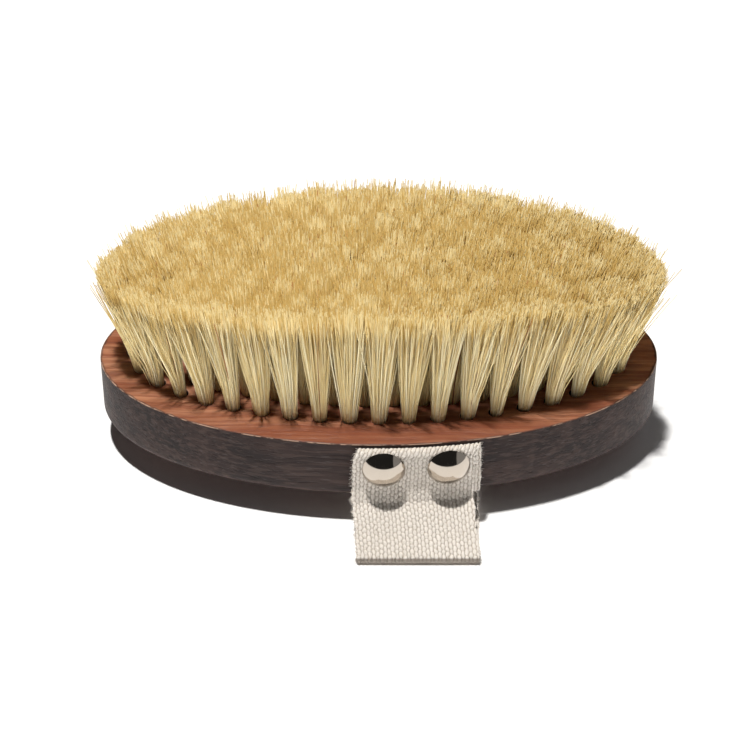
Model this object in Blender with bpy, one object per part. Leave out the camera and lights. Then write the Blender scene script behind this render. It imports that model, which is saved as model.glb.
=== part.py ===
"""Body dry brush: an oval wooden block with bristle tufts and a nailed webbing hand strap.

The brush lies on its back, on its strap, with the bristles up. Metres, +Z up, +X along the block.
The origin is on the surface it lies on, under the middle of the block.
"""

import bisect
import math

import bmesh
import bpy
from mathutils import Matrix, Vector

# Wooden block
BLOCK_LENGTH = 0.135
BLOCK_WIDTH = 0.0705
SIDE_HEIGHT = 0.0160
SIDE_EDGE_RADIUS = 0.0025
BACK_DOME = 0.0056
BLOCK_SEGMENTS = 72
EDGE_STEPS = 3
DOME_STEPS = 4

# Bristle tufts, set in rings that follow the outline
TUFT_PITCH = 0.0070
TUFT_HOLE_RADIUS = 0.00180
TUFT_HOLE_DEPTH = 0.0090
END_MARGIN = 0.0086
SIDE_MARGIN = 0.0092
RING_STEP_LENGTH = 0.0072
RING_COUNT = 4
GROUPS_IN_RING = (8, 8, 6, 6)
GROUPS_IN_CENTRE_ROW = 2
BRISTLE_HEIGHT = 0.0305
SPLIT_HEIGHT = 0.0150
SPLIT_SHARE = 0.86
TUFT_SPAN = 0.80
TIP_CROWN = 0.0050
CROWN_POWER = 2.4
LEAN_SHARE = 0.13
TUFT_SPLAY = 0.0020
HOLE_SIDES = 8

# Webbing hand strap
STRAP_WIDTH = 0.0285
STRAP_THICKNESS = 0.0013
STRAP_CENTRE_X = 0.0085
STRAP_REACH = 0.0512
STRAP_TOP_DROP = 0.0001
STRAP_END_HEIGHT = 0.0144
STRAP_STATIONS = 8

# Dome-headed nails
NAIL_HEAD_RADIUS = 0.0051
NAIL_HEAD_HEIGHT = 0.0028
NAIL_SHANK_RADIUS = 0.0009
NAIL_SPACING = 0.0148
NAIL_DROP = 0.0053
NAIL_POINT_LENGTH = 0.0020
NAIL_SEGMENTS = 16
NAIL_DOME_STEPS = 5

# Clearances
GAP = 0.0003
HOLE_WALL = 0.0008

# Worked out from the sizes above
HALF_LENGTH = BLOCK_LENGTH / 2
HALF_WIDTH = BLOCK_WIDTH / 2
BACK_Z = STRAP_THICKNESS + GAP
SIDE_LOW_Z = BACK_Z + BACK_DOME
FACE_Z = SIDE_LOW_Z + SIDE_HEIGHT
RING_LENGTH = HALF_LENGTH - END_MARGIN
RING_WIDTH = HALF_WIDTH - SIDE_MARGIN
RING_STEP_WIDTH = RING_WIDTH / RING_COUNT
TUFT_RADIUS = TUFT_HOLE_RADIUS * math.cos(math.pi / HOLE_SIDES) - GAP
STRAP_FOLD_THICKNESS = 2 * STRAP_THICKNESS
STRAP_TOP_Z = FACE_Z - STRAP_TOP_DROP
STRAP_END_Z = STRAP_TOP_Z - STRAP_END_HEIGHT
NAIL_Z = FACE_Z - NAIL_DROP

WOOD = ("wood", (0.30, 0.12, 0.06, 1.0), 0.45, 0.0)
BRISTLE = ("bristle", (0.74, 0.58, 0.30, 1.0), 0.55, 0.0)
WEBBING = ("webbing", (0.80, 0.75, 0.66, 1.0), 0.90, 0.0)
NICKEL = ("nickel", (0.78, 0.76, 0.72, 1.0), 0.12, 1.0)


def clear_scene():
    for obj in list(bpy.data.objects):
        bpy.data.objects.remove(obj)


def material(name, colour, roughness, metallic):
    made = bpy.data.materials.new(name)
    made.use_nodes = True
    shader = made.node_tree.nodes["Principled BSDF"]
    shader.inputs["Base Color"].default_value = colour
    shader.inputs["Roughness"].default_value = roughness
    shader.inputs["Metallic"].default_value = metallic
    made.diffuse_color = colour
    return made


def add_object(name, bm, finish, smooth_angle=None):
    bmesh.ops.recalc_face_normals(bm, faces=bm.faces)
    mesh = bpy.data.meshes.new(name)
    bm.to_mesh(mesh)
    bm.free()
    if smooth_angle is not None:
        mesh.shade_smooth()
        mesh.set_sharp_from_angle(angle=smooth_angle)
    obj = bpy.data.objects.new(name, mesh)
    mesh.materials.append(material(name, *finish[1:]))
    bpy.context.scene.collection.objects.link(obj)
    return obj


def cut(obj, cutter):
    """Boolean difference that stays on the object. The cutter is kept as a wire helper."""
    cutter.hide_render = True
    cutter.display_type = "WIRE"
    modifier = obj.modifiers.new(cutter.name, "BOOLEAN")
    modifier.operation = "DIFFERENCE"
    modifier.solver = "EXACT"
    modifier.object = cutter


def oval_loop(bm, half_length, half_width, z, segments):
    turns = [2 * math.pi * step / segments for step in range(segments)]
    return [bm.verts.new((half_length * math.cos(t), half_width * math.sin(t), z)) for t in turns]


def skin(bm, loops):
    """Quads between closed loops of equal length."""
    for low, high in zip(loops, loops[1:]):
        for i in range(len(low)):
            j = (i + 1) % len(low)
            bm.faces.new((low[i], low[j], high[j], high[i]))


# Places on the rings of tufts


def oval_point(half_length, half_width, turn):
    return Vector((half_length * math.cos(turn), half_width * math.sin(turn), 0.0))


def oval_out(half_length, half_width, turn):
    return Vector((half_width * math.cos(turn), half_length * math.sin(turn), 0.0)).normalized()


def tuft_turns(half_length, half_width):
    """Turns before, at and after the middle of each tuft of an oval row, one tuft at each end of it."""
    fine = 2048
    lengths = [0.0]
    last = oval_point(half_length, half_width, 0.0)
    for step in range(1, fine + 1):
        here = oval_point(half_length, half_width, 2 * math.pi * step / fine)
        lengths.append(lengths[-1] + (here - last).length)
        last = here
    count = 2 * round(lengths[-1] / TUFT_PITCH / 2)
    tufts = []
    for i in range(count):
        turns = []
        for part in (-TUFT_SPAN / 2, 0.0, TUFT_SPAN / 2):
            wanted = lengths[-1] * ((i + part) % count) / count
            step = max(1, bisect.bisect_left(lengths, wanted))
            share = (wanted - lengths[step - 1]) / (lengths[step] - lengths[step - 1])
            turns.append(2 * math.pi * (step - 1 + share) / fine)
        tufts.append(turns)
    return tufts


def lean(x):
    """How far a bristle tip stands out along X past its root."""
    return LEAN_SHARE * x


def tip_height(x):
    """Height of the trimmed tips above the block's face."""
    reach = RING_LENGTH + lean(RING_LENGTH)
    return BRISTLE_HEIGHT - TIP_CROWN * min(1.0, abs(x) / reach) ** CROWN_POWER


def ring_sizes(ring):
    return RING_LENGTH - ring * RING_STEP_LENGTH, RING_WIDTH - ring * RING_STEP_WIDTH


def shares(count, parts):
    """Index ranges that split count things into parts of nearly equal size."""
    return [(count * part // parts, count * (part + 1) // parts) for part in range(parts)]


# Wooden block


def block_profile():
    """(inset, z) down the side, round its lower edge."""
    points = [(0.0, FACE_Z)]
    centre_z = SIDE_LOW_Z + SIDE_EDGE_RADIUS
    for step in range(EDGE_STEPS + 1):
        turn = math.pi / 2 * step / EDGE_STEPS
        inset = SIDE_EDGE_RADIUS * (1 - math.cos(turn))
        points.append((inset, centre_z - SIDE_EDGE_RADIUS * math.sin(turn)))
    return points


def make_block():
    """Oval block with a flat face, an upright side and a back that swells into the palm."""
    bm = bmesh.new()
    loops = []
    for inset, z in block_profile():
        loops.append(oval_loop(bm, HALF_LENGTH - inset, HALF_WIDTH - inset, z, BLOCK_SEGMENTS))
    back_length = HALF_LENGTH - SIDE_EDGE_RADIUS
    back_width = HALF_WIDTH - SIDE_EDGE_RADIUS
    for step in range(1, DOME_STEPS):
        share = 1 - step / DOME_STEPS
        z = BACK_Z + BACK_DOME * share**2
        loops.append(oval_loop(bm, back_length * share, back_width * share, z, BLOCK_SEGMENTS))
    bm.faces.new(loops[0])
    skin(bm, loops)
    pole = bm.verts.new((0.0, 0.0, BACK_Z))
    last = loops[-1]
    for i in range(BLOCK_SEGMENTS):
        bm.faces.new((last[i], last[(i + 1) % BLOCK_SEGMENTS], pole))
    return add_object("brush_block", bm, WOOD, math.radians(30))


def make_tuft_hole_cutter(roots):
    bm = bmesh.new()
    for root in roots:
        bmesh.ops.create_cone(
            bm,
            cap_ends=True,
            segments=HOLE_SIDES,
            radius1=TUFT_HOLE_RADIUS,
            radius2=TUFT_HOLE_RADIUS,
            depth=2 * TUFT_HOLE_DEPTH,
            matrix=Matrix.Translation((root.x, root.y, FACE_Z)),
        )
    return add_object("tuft_hole_cutter", bm, WOOD)


# Bristle tufts


def leaned(spot, height):
    """Where bristles that stand over this spot of the face have got to at a height above it."""
    share = height / BRISTLE_HEIGHT
    return Vector((spot.x + lean(spot.x) * share, spot.y, FACE_Z + height))


def band_section(outer, inner):
    """Corners of a row's section, from where its tufts meet up to their tips."""
    middle = (outer + inner) / 2
    low_outer = middle + (outer - middle) * SPLIT_SHARE
    low_inner = middle + (inner - middle) * SPLIT_SHARE
    return (
        leaned(low_outer, SPLIT_HEIGHT),
        leaned(outer, tip_height(outer.x)),
        leaned(inner, tip_height(inner.x)),
        leaned(low_inner, SPLIT_HEIGHT),
    )


def make_tuft_group(name, tufts):
    """Neighbouring tufts of one row: apart at their roots, and one band from SPLIT_HEIGHT up.

    Each tuft is (root, out, sections), with the band's section before, at and after its middle.
    """
    bm = bmesh.new()
    sections = []
    for _, _, corners in tufts:
        sections += [[bm.verts.new(corner) for corner in section] for section in corners]
    undersides = []
    for here, after in zip(sections, sections[1:]):
        for i in range(4):
            j = (i + 1) % 4
            face = bm.faces.new((here[i], after[i], after[j], here[j]))
        undersides.append(face)
    bm.faces.new(sections[0])
    bm.faces.new(sections[-1])
    for index, (root, out, _) in enumerate(tufts):
        push_root(bm, undersides[3 * index : 3 * index + 2], root, out)
    return add_object(name, bm, BRISTLE)


def push_root(bm, faces, root, out):
    """Draws the underside of one tuft down to a six-sided root at the face, then into its hole."""
    for z in (FACE_Z, FACE_Z - TUFT_HOLE_DEPTH + GAP):
        made = bmesh.ops.extrude_face_region(bm, geom=faces)["geom"]
        bmesh.ops.delete(bm, geom=faces, context="FACES")
        faces = [item for item in made if isinstance(item, bmesh.types.BMFace)]
        verts = list({vert for face in faces for vert in face.verts})
        middle = sum((vert.co for vert in verts), Vector()) / len(verts)
        places = [root_corner(vert.co - middle, out) for vert in verts]
        for vert, place in zip(verts, places):
            vert.co = Vector((root.x, root.y, z)) + place


def root_corner(offset, out):
    """The corner of a six-sided root that lies the same way from its middle as this offset."""
    along = Vector((-out.y, out.x, 0.0))
    side = 1 if offset.dot(out) > 0 else -1
    slant = offset.dot(along)
    turn = math.copysign(math.pi / 3, slant) if abs(slant) > TUFT_RADIUS / 2 else 0.0
    return (along * math.sin(turn) + out * math.cos(turn) * side) * TUFT_RADIUS


def ring_tufts(ring):
    """(root, out, sections) of each tuft of a ring, in order round it."""
    half_length, half_width = ring_sizes(ring)
    inward = 0.5 - GAP / RING_STEP_WIDTH
    outward = inward if ring else TUFT_SPLAY / RING_STEP_WIDTH
    tufts = []
    for turns in tuft_turns(half_length, half_width):
        sections = []
        for turn in turns:
            edges = []
            for share in (outward, -inward):
                length = half_length + share * RING_STEP_LENGTH
                width = half_width + share * RING_STEP_WIDTH
                edges.append(oval_point(length, width, turn))
            sections.append(band_section(*edges))
        root = oval_point(half_length, half_width, turns[1])
        tufts.append((root, oval_out(half_length, half_width, turns[1]), sections))
    return tufts


def centre_row_tufts():
    """(root, out, sections) of each tuft of the straight row inside the last ring."""
    half_length, half_width = ring_sizes(RING_COUNT - 0.5)
    room = TUFT_HOLE_RADIUS + GAP
    reach = half_length * math.sqrt(1 - (room / half_width) ** 2)
    count = max(2, int((2 * reach - TUFT_PITCH * TUFT_SPAN) / TUFT_PITCH) + 1)
    out = Vector((0.0, 1.0, 0.0))
    tufts = []
    for i in range(count):
        root = Vector((TUFT_PITCH * ((count - 1) / 2 - i), 0.0, 0.0))
        sections = []
        for step in (TUFT_SPAN / 2, 0.0, -TUFT_SPAN / 2):
            spot = root + Vector((step * TUFT_PITCH, 0.0, 0.0))
            half = out * (room - 2 * GAP)
            sections.append(band_section(spot + half, spot - half))
        tufts.append((root, out, sections))
    return tufts


def make_tufts():
    """Every group of tufts. Returns the roots, for the holes that hold them."""
    rows = []
    for ring in range(RING_COUNT):
        rows.append((f"tufts_ring_{ring + 1}", ring_tufts(ring), GROUPS_IN_RING[ring]))
    rows.append(("tufts_centre_row", centre_row_tufts(), GROUPS_IN_CENTRE_ROW))
    roots = []
    for row_name, tufts, groups in rows:
        roots += [root for root, _, _ in tufts]
        for index, (start, stop) in enumerate(shares(len(tufts), groups)):
            make_tuft_group(f"{row_name}_group_{index + 1}", tufts[start:stop])
    return roots


# Webbing strap


def wall_y(x, offset):
    """Y of the block's front side at x, moved out by offset along its normal."""
    turn = -math.acos(x / HALF_LENGTH)
    return HALF_WIDTH * math.sin(turn) + oval_out(HALF_LENGTH, HALF_WIDTH, turn).y * offset


def strap_stations():
    start = STRAP_CENTRE_X - STRAP_WIDTH / 2
    return [start + STRAP_WIDTH * step / STRAP_STATIONS for step in range(STRAP_STATIONS + 1)]


def make_strap_end(name, side):
    """The nailed end, folded double and bent round the block's side."""
    bm = bmesh.new()
    loops = []
    for x in strap_stations():
        inner = wall_y(x, GAP) * -side
        outer = wall_y(x, GAP + STRAP_FOLD_THICKNESS) * -side
        corners = (
            (inner, STRAP_END_Z),
            (outer, STRAP_END_Z),
            (outer, STRAP_TOP_Z),
            (inner, STRAP_TOP_Z),
        )
        loops.append([bm.verts.new((x, y, z)) for y, z in corners])
    skin(bm, loops)
    bm.faces.new(loops[0])
    bm.faces.new(loops[-1])
    return add_object(name, bm, WEBBING)


def extrude_section(name, section):
    """A solid of one (y, z) outline drawn across the strap's width."""
    bm = bmesh.new()
    start = STRAP_CENTRE_X - STRAP_WIDTH / 2
    face = bm.faces.new([bm.verts.new((start, y, z)) for y, z in section])
    made = bmesh.ops.extrude_face_region(bm, geom=[face])["geom"]
    verts = [item for item in made if isinstance(item, bmesh.types.BMVert)]
    bmesh.ops.translate(bm, verts=verts, vec=(STRAP_WIDTH, 0.0, 0.0))
    return add_object(name, bm, WEBBING)


def fold_points():
    """(y, z) round the fold at +Y, from its underside to its top."""
    centre_y = STRAP_REACH - STRAP_THICKNESS
    turns = [math.radians(-90 + 45 * step) for step in range(5)]
    points = []
    for turn in turns:
        y = centre_y + STRAP_THICKNESS * math.cos(turn)
        points.append((y, STRAP_THICKNESS * (1 + math.sin(turn))))
    return points


def make_strap_palm():
    """The run under the block, with the folded edge that turns up at each side."""
    right = fold_points()
    step_y = right[-1][0]
    right.append((step_y, STRAP_THICKNESS))
    left = [(-y, z) for y, z in reversed(right)]
    return extrude_section("strap_palm", right + left)


def make_strap_leg(name, side):
    """The short slope between the folded edge and the nailed end."""
    low_y = STRAP_REACH - STRAP_THICKNESS - GAP
    low_z = STRAP_THICKNESS + GAP
    high_y = HALF_WIDTH + STRAP_FOLD_THICKNESS
    high_z = STRAP_END_Z - GAP
    section = (
        (side * low_y, low_z),
        (side * low_y, low_z + STRAP_THICKNESS),
        (side * high_y, high_z),
        (side * (high_y - STRAP_THICKNESS), high_z),
    )
    return extrude_section(name, section)


# Nails


def nail_frame(x, side):
    """Matrix with +Z out of the block's side at x, on the outside of the strap."""
    turn = side * math.acos(x / HALF_LENGTH)
    out = oval_out(HALF_LENGTH, HALF_WIDTH, turn)
    seat = oval_point(HALF_LENGTH, HALF_WIDTH, turn) + out * (2 * GAP + STRAP_FOLD_THICKNESS)
    seat.z = NAIL_Z
    return Matrix.Translation(seat) @ out.to_track_quat("Z", "Y").to_matrix().to_4x4()


def nail_depth():
    """Shank length below the head: it stops short of the outer ring of holes."""
    wood = SIDE_MARGIN - TUFT_HOLE_RADIUS - HOLE_WALL
    return STRAP_FOLD_THICKNESS + 2 * GAP + wood - GAP


def nail_profile():
    """(radius, height) from the crown of the head down to the point."""
    sphere = (NAIL_HEAD_RADIUS**2 + NAIL_HEAD_HEIGHT**2) / (2 * NAIL_HEAD_HEIGHT)
    widest = math.asin(min(1.0, NAIL_HEAD_RADIUS / sphere))
    points = []
    for step in range(NAIL_DOME_STEPS + 1):
        turn = widest * step / NAIL_DOME_STEPS
        points.append((sphere * math.sin(turn), NAIL_HEAD_HEIGHT - sphere * (1 - math.cos(turn))))
    depth = nail_depth()
    points.append((NAIL_SHANK_RADIUS, 0.0))
    points.append((NAIL_SHANK_RADIUS, NAIL_POINT_LENGTH - depth))
    points.append((0.0, -depth))
    return points


def make_nail(name, x, side):
    bm = bmesh.new()
    profile = nail_profile()
    verts = [bm.verts.new((radius, 0.0, z)) for radius, z in profile]
    edges = [bm.edges.new(pair) for pair in zip(verts, verts[1:])]
    bmesh.ops.spin(
        bm,
        geom=verts + edges,
        cent=(0, 0, 0),
        axis=(0, 0, 1),
        angle=2 * math.pi,
        steps=NAIL_SEGMENTS,
        use_merge=True,
    )
    bmesh.ops.remove_doubles(bm, verts=bm.verts, dist=1e-6)
    nail = add_object(name, bm, NICKEL, math.radians(40))
    nail.matrix_world = nail_frame(x, side)
    return nail


def make_nail_hole_cutter(name, x, side):
    bm = bmesh.new()
    depth = nail_depth() + GAP
    length = depth + NAIL_HEAD_HEIGHT
    bmesh.ops.create_cone(
        bm,
        cap_ends=True,
        segments=HOLE_SIDES,
        radius1=NAIL_SHANK_RADIUS / math.cos(math.pi / HOLE_SIDES) + GAP,
        radius2=NAIL_SHANK_RADIUS / math.cos(math.pi / HOLE_SIDES) + GAP,
        depth=length,
        matrix=Matrix.Translation((0, 0, length / 2 - depth)),
    )
    cutter = add_object(name, bm, WOOD)
    cutter.matrix_world = nail_frame(x, side)
    return cutter


def make_strap_side(block, name, side):
    """One nailed end with its leg and its two nails."""
    end = make_strap_end(f"strap_end_{name}", side)
    make_strap_leg(f"strap_leg_{name}", side)
    for hand, shift in (("left", -NAIL_SPACING / 2), ("right", NAIL_SPACING / 2)):
        x = STRAP_CENTRE_X + shift
        make_nail(f"strap_nail_{name}_{hand}", x, side)
        cutter = make_nail_hole_cutter(f"nail_hole_{name}_{hand}_cutter", x, side)
        cut(block, cutter)
        cut(end, cutter)


def main():
    clear_scene()
    block = make_block()
    roots = make_tufts()
    cut(block, make_tuft_hole_cutter(roots))
    make_strap_palm()
    make_strap_side(block, "front", -1)
    make_strap_side(block, "rear", 1)


main()
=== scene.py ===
"""Looks for the body dry brush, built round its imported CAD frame.

The brush lies on its strap with the bristles up. Metres, +Z up, +X along the block.
"""

import math

import bmesh
import bpy
import numpy as np
from mathutils import Matrix, Vector


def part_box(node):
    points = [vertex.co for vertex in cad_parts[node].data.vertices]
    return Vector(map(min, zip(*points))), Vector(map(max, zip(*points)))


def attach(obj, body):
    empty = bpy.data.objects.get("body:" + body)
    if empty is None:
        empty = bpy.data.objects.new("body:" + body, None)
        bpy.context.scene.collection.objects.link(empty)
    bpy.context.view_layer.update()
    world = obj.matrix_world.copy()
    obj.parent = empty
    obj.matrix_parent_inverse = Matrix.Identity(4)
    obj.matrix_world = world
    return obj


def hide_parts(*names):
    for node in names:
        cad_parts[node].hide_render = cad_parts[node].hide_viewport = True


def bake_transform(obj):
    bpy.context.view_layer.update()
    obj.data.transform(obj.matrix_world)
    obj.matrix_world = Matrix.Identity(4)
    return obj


bl_info = {
    "name": "Body Dry Brush",
    "version": (1, 0, 0),
    "blender": (4, 5, 0),
    "location": "3D View > Sidebar > Dry Brush",
    "description": "Wooden body brush with plant-fibre tufts, a webbing hand strap and dome nails",
    "category": "Add Mesh",
}

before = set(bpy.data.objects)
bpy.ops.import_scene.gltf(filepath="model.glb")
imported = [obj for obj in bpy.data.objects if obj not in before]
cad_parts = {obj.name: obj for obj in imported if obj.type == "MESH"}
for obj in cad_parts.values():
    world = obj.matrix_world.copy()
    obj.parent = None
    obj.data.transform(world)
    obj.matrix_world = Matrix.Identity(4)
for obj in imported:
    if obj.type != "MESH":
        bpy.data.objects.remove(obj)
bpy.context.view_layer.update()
BLOCK_LOW, BLOCK_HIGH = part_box("brush_block")
PALM_LOW, PALM_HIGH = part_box("strap_palm")
FACE_Z = BLOCK_HIGH.z
HALF_LENGTH = BLOCK_HIGH.x
HALF_WIDTH = BLOCK_HIGH.y

TUFT_RINGS = 4
GROUPS_IN_RING = (8, 8, 6, 6)
TUFT_SPAN = 0.8  # width of a tuft, in tuft pitches
ROW_GAP = 0.0003  # kept free between the centre row's holes and the last ring's tufts
HOLE_EDGE = 0.00022  # flare that breaks the edge of each drilled hole
FLAT = 0.9999  # Z of a normal, from where a face counts as part of the flat face
FIBRE_SUNK = 0.003  # how far fibres reach into their hole
FRINGE_SHARE = 0.20  # share of the first ring's fibres that fan out over the side
FRINGE_REACH = 0.0050
HEM_OFFSETS = (0.0011, 0.0009, -0.0005, -0.0005, 0.0007)  # strap's sideways shift, from its ends inward
SEAT = 0.0001  # between the block's side and the strap's hem
HORIZON_GLOW = 0.8
WOOD_SCALES = {"Band Scale": 260.0, "Pore Scale": 1500.0}
WHITE = (1.0, 1.0, 1.0, 1.0)


# Sizes and colours a user would change


def size(name, description, default):
    return bpy.props.FloatProperty(
        name=name, description=description, default=default, min=0.0, precision=5, unit="LENGTH"
    )


def share(name, description, default):
    return bpy.props.FloatProperty(
        name=name, description=description, default=default, min=0.0, max=2.0, subtype="FACTOR"
    )


def count(name, description, default):
    return bpy.props.IntProperty(name=name, description=description, default=default, min=1)


def colour(name, description, default):
    return bpy.props.FloatVectorProperty(
        name=name, description=description, default=default, size=3, subtype="COLOR", min=0, max=1
    )


class BrushBlockSettings(bpy.types.PropertyGroup):
    """The oval wooden block"""

    side_height: size("Side height", "Height of the upright side and its rounded lower edge", 0.0160)
    edge_radius: size("Lower edge", "Radius of the rounded edge between side and back", 0.0025)
    crest_radius: size("Crest", "Radius of the crisp edge round the face", 0.0003)
    tuft_hole_radius: size("Tuft hole radius", "Radius of the hole that holds each tuft", 0.00165)
    tuft_hole_depth: size("Tuft hole depth", "Depth of each tuft's hole", 0.0090)
    segments: count("Segments", "Sides of the oval outline", 288)
    face_colour: colour("Face", "Oiled reddish wood of the sanded face", (0.400, 0.190, 0.108))
    face_dark: colour("Face grain", "Dark grain lines on the face", (0.170, 0.048, 0.024))
    side_colour: colour("Side", "Heat-darkened wood of side and back", (0.040, 0.023, 0.020))
    side_dark: colour("Side grain", "Dark grain lines of side and back", (0.014, 0.009, 0.009))
    # Also paints the pale line along the crest, which is worn raw wood with a painted highlight of the
    # rounded edge.
    chip_and_highlight_colour: colour("Chips", "Pale raw wood at hole edges and crest", (0.640, 0.400, 0.280))


class BrushBristleSettings(bpy.types.PropertyGroup):
    """Rings of plant-fibre tufts"""

    pitch: size("Tuft pitch", "Distance between tufts along a ring", 0.0070)
    end_margin: size("End margin", "Outline to first ring, at the block's ends", 0.0086)
    side_margin: size("Side margin", "Outline to first ring, at the block's sides", 0.0092)
    ring_step: size("Ring step", "Distance between rings along the block", 0.0072)
    length: size("Length", "Height of the trimmed tips above the face", 0.0303)
    crown: size("Crown", "How much lower the tips are at the ends", 0.0050)
    fibre_radius: size("Fibre radius", "Radius of one fibre", 0.00015)
    tip_reach: size("Tip reach", "How far a tuft's tips spread from its middle", 0.0042)
    outer_reach: size("Outer reach", "How far the first ring's tips spread outward", 0.0012)
    lean: share("Lean", "How far tips stand out along the block, by distance from its middle", 0.122)
    fibres: count("Fibres", "Fibres in one tuft", 290)
    # Brighter than the fibre's own colour: painted light for the light that passes through real fibres into
    # the tufts' shade.
    side_colour: colour("Fibre", "Pale body of a fibre", (0.970, 0.830, 0.470))
    tip_colour: colour("Tip", "Golden cut tip", (0.520, 0.350, 0.105))
    stray_colour: colour("Dark fibre", "The occasional reddish fibre", (0.360, 0.150, 0.045))


class BrushStrapSettings(bpy.types.PropertyGroup):
    """The webbing hand strap"""

    width: size("Width", "Width of the webbing", 0.0285)
    thickness: size("Thickness", "Thickness of the webbing", 0.0013)
    hem: size("Hem", "Length folded in behind each nailed end", 0.0140)
    bend_z: size("Bend height", "Height at which the strap leaves the block's side", 0.0084)
    fold_radius: size("Fold radius", "Radius of the fold where the strap turns under", 0.00075)
    yarn_across: size("Yarn pitch", "Width of one warp yarn", 0.00090)
    yarn_along: size("Pick pitch", "Length of one float of a warp yarn", 0.00136)
    yarn_relief: size("Relief", "Height of the yarns over the gaps between them", 0.00034)
    loose_fibres: count("Loose fibres", "Short fibres that stand out of the weave", 2600)
    cotton: colour("Cotton", "Undyed cotton", (0.780, 0.720, 0.655))
    # Painted shade: the colour of the gaps between the yarns.
    cotton_gap_shade: colour("Cotton, deep", "Cotton in the gaps of the weave", (0.440, 0.365, 0.290))


class BrushNailSettings(bpy.types.PropertyGroup):
    """The dome-headed nails"""

    head_radius: size("Head radius", "Radius of the domed head", 0.0051)
    head_height: size("Head height", "Height of the domed head", 0.0028)
    shank_radius: size("Shank radius", "Radius of the shank", 0.0009)
    drop: size("Drop", "Depth of the nails' middle below the face", 0.0053)
    spacing: size("Spacing", "Distance between the two nails of one end", 0.0148)
    nickel: colour("Nickel", "Polished nickel", (0.590, 0.525, 0.455))


class BrushStageSettings(bpy.types.PropertyGroup):
    """Floor, light and camera"""

    distance: size("Camera distance", "From the look-at point", 0.600)
    elevation: bpy.props.FloatProperty(
        name="Elevation", description="Camera above the horizon", default=math.radians(38), subtype="ANGLE"
    )
    lens: bpy.props.FloatProperty(
        name="Lens", description="Focal length", default=117.8, min=1, unit="CAMERA"
    )
    floor_colour: colour("Floor", "Pale floor", (0.870, 0.870, 0.870))


# Modelling helpers


def edit(obj):
    bpy.context.view_layer.objects.active = obj
    obj.select_set(True)
    bpy.ops.object.mode_set(mode="EDIT")


def leave_edit():
    bpy.ops.object.mode_set(mode="OBJECT")


def deselect():
    bpy.ops.object.select_all(action="DESELECT")


def select_parts(obj, kind, wanted):
    """Selects, in edit mode, the faces or edges (FACE or EDGE) that pass a test and nothing else."""
    bpy.ops.mesh.select_mode(type=kind)
    bm = bmesh.from_edit_mesh(obj.data)
    parts = bm.faces if kind == "FACE" else bm.edges
    for part in parts:
        part.select_set(False)
    for part in parts:
        if wanted(part):
            part.select_set(True)
    bmesh.update_edit_mesh(obj.data)


def leave_edit_facing_out():
    """Turns all faces outward and leaves edit mode."""
    bpy.ops.mesh.select_all(action="SELECT")
    bpy.ops.mesh.normals_make_consistent(inside=False)
    leave_edit()


def select_only(obj):
    deselect()
    obj.select_set(True)
    bpy.context.view_layer.objects.active = obj


def settle(obj, name):
    """Puts a finished piece's place into its mesh and names it."""
    select_only(obj)
    bpy.ops.object.transform_apply(location=True, rotation=True, scale=True)
    obj.name = name
    obj.data.name = name


def apply_modifier(obj, modifier):
    select_only(obj)
    bpy.ops.object.modifier_apply(modifier=modifier.name)


def smooth_by_angle(obj, degrees):
    select_only(obj)
    bpy.ops.object.shade_smooth_by_angle(angle=math.radians(degrees))


def remove(obj):
    mesh = obj.data
    bpy.data.objects.remove(obj)
    bpy.data.meshes.remove(mesh)


def new_object(name, data):
    obj = bpy.data.objects.new(name, data)
    bpy.context.scene.collection.objects.link(obj)
    return obj


def points_of(mesh):
    points = np.empty(len(mesh.vertices) * 3, np.float32)
    mesh.vertices.foreach_get("co", points)
    return points.reshape(-1, 3).astype(float)


# Places on the block and its rings of tufts


def oval_point(half_length, half_width, turn):
    return Vector((half_length * math.cos(turn), half_width * math.sin(turn), 0.0))


def oval_out(half_length, half_width, turn):
    return Vector((half_width * math.cos(turn), half_length * math.sin(turn), 0.0)).normalized()


def turns_along_oval(half_length, half_width, pitch):
    """Turns of points spread evenly along an oval, one at each end of it."""
    turns = np.linspace(0.0, 2 * math.pi, 4097)
    places = np.stack([half_length * np.cos(turns), half_width * np.sin(turns)], axis=1)
    lengths = np.concatenate([[0.0], np.cumsum(np.linalg.norm(np.diff(places, axis=0), axis=1))])
    number = 2 * round(lengths[-1] / pitch / 2)
    wanted = lengths[-1] * np.arange(number) / number
    return np.interp(wanted, lengths, turns)


def ring_size(settings, ring):
    step_width = (HALF_WIDTH - settings.side_margin) / TUFT_RINGS
    return (
        HALF_LENGTH - settings.end_margin - ring * settings.ring_step,
        HALF_WIDTH - settings.side_margin - ring * step_width,
    )


def tuft_rows(settings, hole_radius):
    """{row name: [(root, along, out)]}, with the rear half of each ring first."""
    rows = {}
    for ring in range(TUFT_RINGS):
        half_length, half_width = ring_size(settings, ring)
        tufts = []
        for turn in turns_along_oval(half_length, half_width, settings.pitch):
            out = oval_out(half_length, half_width, turn)
            tufts.append((oval_point(half_length, half_width, turn), Vector((-out.y, out.x, 0.0)), out))
        rows[f"ring_{ring + 1}"] = tufts
    half_length, half_width = ring_size(settings, TUFT_RINGS - 0.5)
    reach = half_length * math.sqrt(1 - ((hole_radius + ROW_GAP) / half_width) ** 2)
    number = int((2 * reach - TUFT_SPAN * settings.pitch) / settings.pitch) + 1
    rows["centre_row"] = [
        (Vector((settings.pitch * ((number - 1) / 2 - i), 0, 0)), Vector((1, 0, 0)), Vector((0, 1, 0)))
        for i in range(number)
    ]
    return rows


def wall_y(x):
    """Y of the block's front side at x."""
    turn = -math.acos(x / HALF_LENGTH)
    return HALF_WIDTH * math.sin(turn)


# Materials


def new_material(name, roughness, metallic=0.0, specular=0.5):
    material = bpy.data.materials.new(name)
    material.use_nodes = True
    shader = material.node_tree.nodes["Principled BSDF"]
    shader.inputs["Roughness"].default_value = roughness
    shader.inputs["Metallic"].default_value = metallic
    shader.inputs["Specular IOR Level"].default_value = specular
    return material, material.node_tree, shader


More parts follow.
